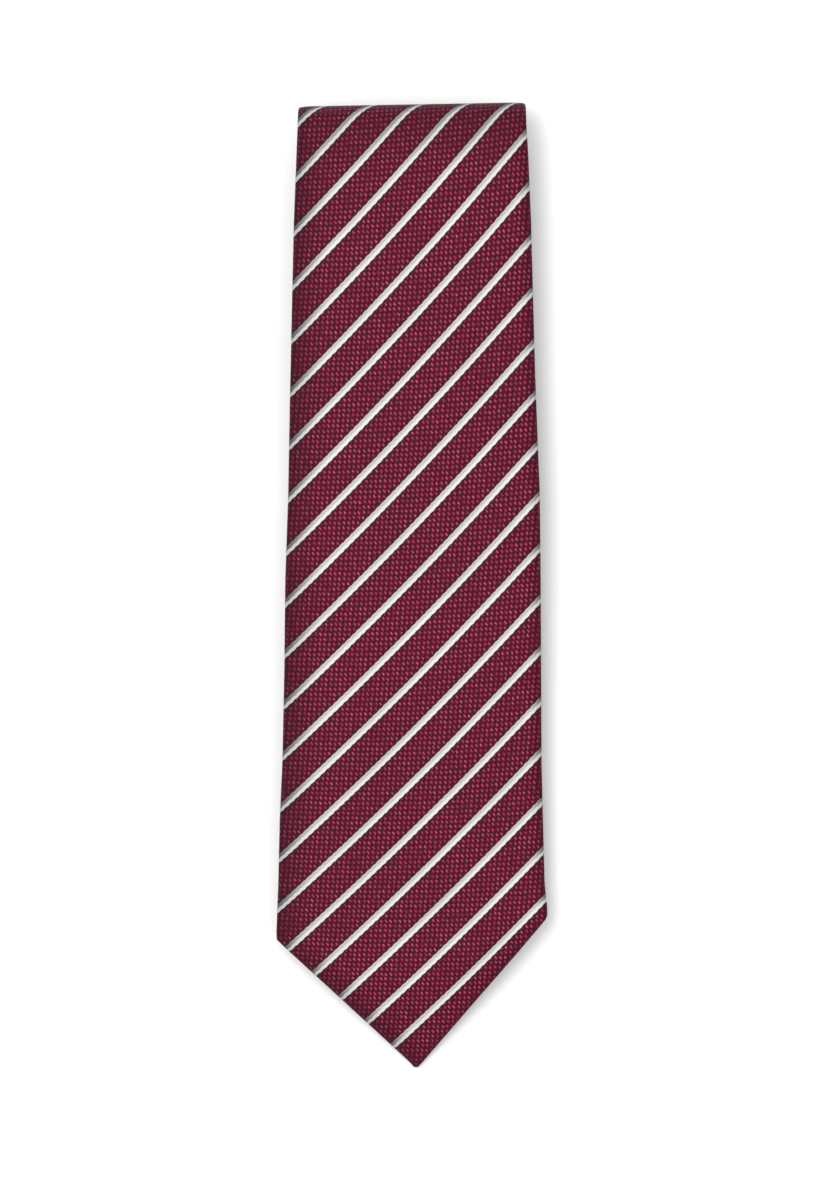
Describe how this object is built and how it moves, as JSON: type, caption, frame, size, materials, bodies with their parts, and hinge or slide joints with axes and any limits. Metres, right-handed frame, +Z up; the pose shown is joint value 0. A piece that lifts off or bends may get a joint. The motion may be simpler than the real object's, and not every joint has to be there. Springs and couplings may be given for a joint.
{
  "type": "necktie",
  "caption": "Folded necktie with a pointed wide blade, a soft roll at the top, wool interlining, linings and a keeper loop; it unfolds to full length.",
  "frame": {"origin": "on the floor under the centre of the folded tie", "axes": "+Y from the wide point towards the rolled end, +X to the right of the blade's front, +Z up from the floor"},
  "size_m": [0.08, 0.285, 0.0232],
  "materials": {
    "jacquard": "woven, low sheen",
    "wool": "felted",
    "lining": "plain weave, low sheen",
    "thread": "twisted thread",
    "label": "satin",
    "care_label": "satin"
  },
  "bodies": {
    "blade_leaf": {"blade_shell_front": "jacquard", "blade_interlining_front": "wool", "blade_tipping": "lining", "keeper_loop": "jacquard", "keeper_tacks": "thread", "woven_label": "label", "label_stitches": "thread", "care_label": "care_label", "blade_bar_tack": "thread", "slip_stitch_front": "thread"},
    "second_leaf": {"blade_shell_second": "jacquard", "blade_interlining_second": "wool", "slip_stitch_second": "thread"},
    "third_leaf": {"blade_shell_third": "jacquard", "blade_interlining_third": "wool", "slip_stitch_third": "thread"},
    "fourth_leaf": {"blade_shell_fourth": "jacquard", "neck_shell_fourth": "jacquard", "blade_neck_seam": "thread", "blade_interlining_fourth": "wool", "tail_interlining_fourth": "wool", "interlining_joint_stitch": "thread", "slip_stitch_fourth": "thread"},
    "fifth_leaf": {"neck_shell_fifth": "jacquard", "tail_shell_fifth": "jacquard", "neck_tail_seam": "thread", "tail_interlining_fifth": "wool", "slip_stitch_fifth": "thread"},
    "tail_leaf": {"tail_shell_end": "jacquard", "tail_interlining_end": "wool", "tail_tipping": "lining", "tail_bar_tack": "thread", "slip_stitch_end": "thread"}
  },
  "joints": [
    {"name": "tail_fold", "type": "hinge", "parent": "tail_leaf", "child": "fifth_leaf", "pos_m": [0, 0.13415, 0.00215], "axis": [-1, 0, 0], "range_deg": [0, 179.5]},
    {"name": "neck_fold", "type": "hinge", "parent": "fifth_leaf", "child": "fourth_leaf", "pos_m": [0, -0.10815, 0.00445], "axis": [1, 0, 0], "range_deg": [0, 179.5]},
    {"name": "upper_fold", "type": "hinge", "parent": "fourth_leaf", "child": "third_leaf", "pos_m": [0, 0.13815, 0.00675], "axis": [-1, 0, 0], "range_deg": [0, 179.5]},
    {"name": "lower_fold", "type": "hinge", "parent": "third_leaf", "child": "second_leaf", "pos_m": [0, -0.11015, 0.00905], "axis": [1, 0, 0], "range_deg": [0, 179.5]},
    {"name": "blade_roll", "type": "hinge", "parent": "second_leaf", "child": "blade_leaf", "pos_m": [0, 0.1425, 0.0162], "axis": [-1, 0, 0], "range_deg": [0, 179.5]}
  ],
  "couplings": [
    {"joint": "neck_fold", "follows": "tail_fold", "ratio": 1},
    {"joint": "upper_fold", "follows": "tail_fold", "ratio": 1},
    {"joint": "lower_fold", "follows": "tail_fold", "ratio": 1},
    {"joint": "blade_roll", "follows": "tail_fold", "ratio": 1}
  ]
}
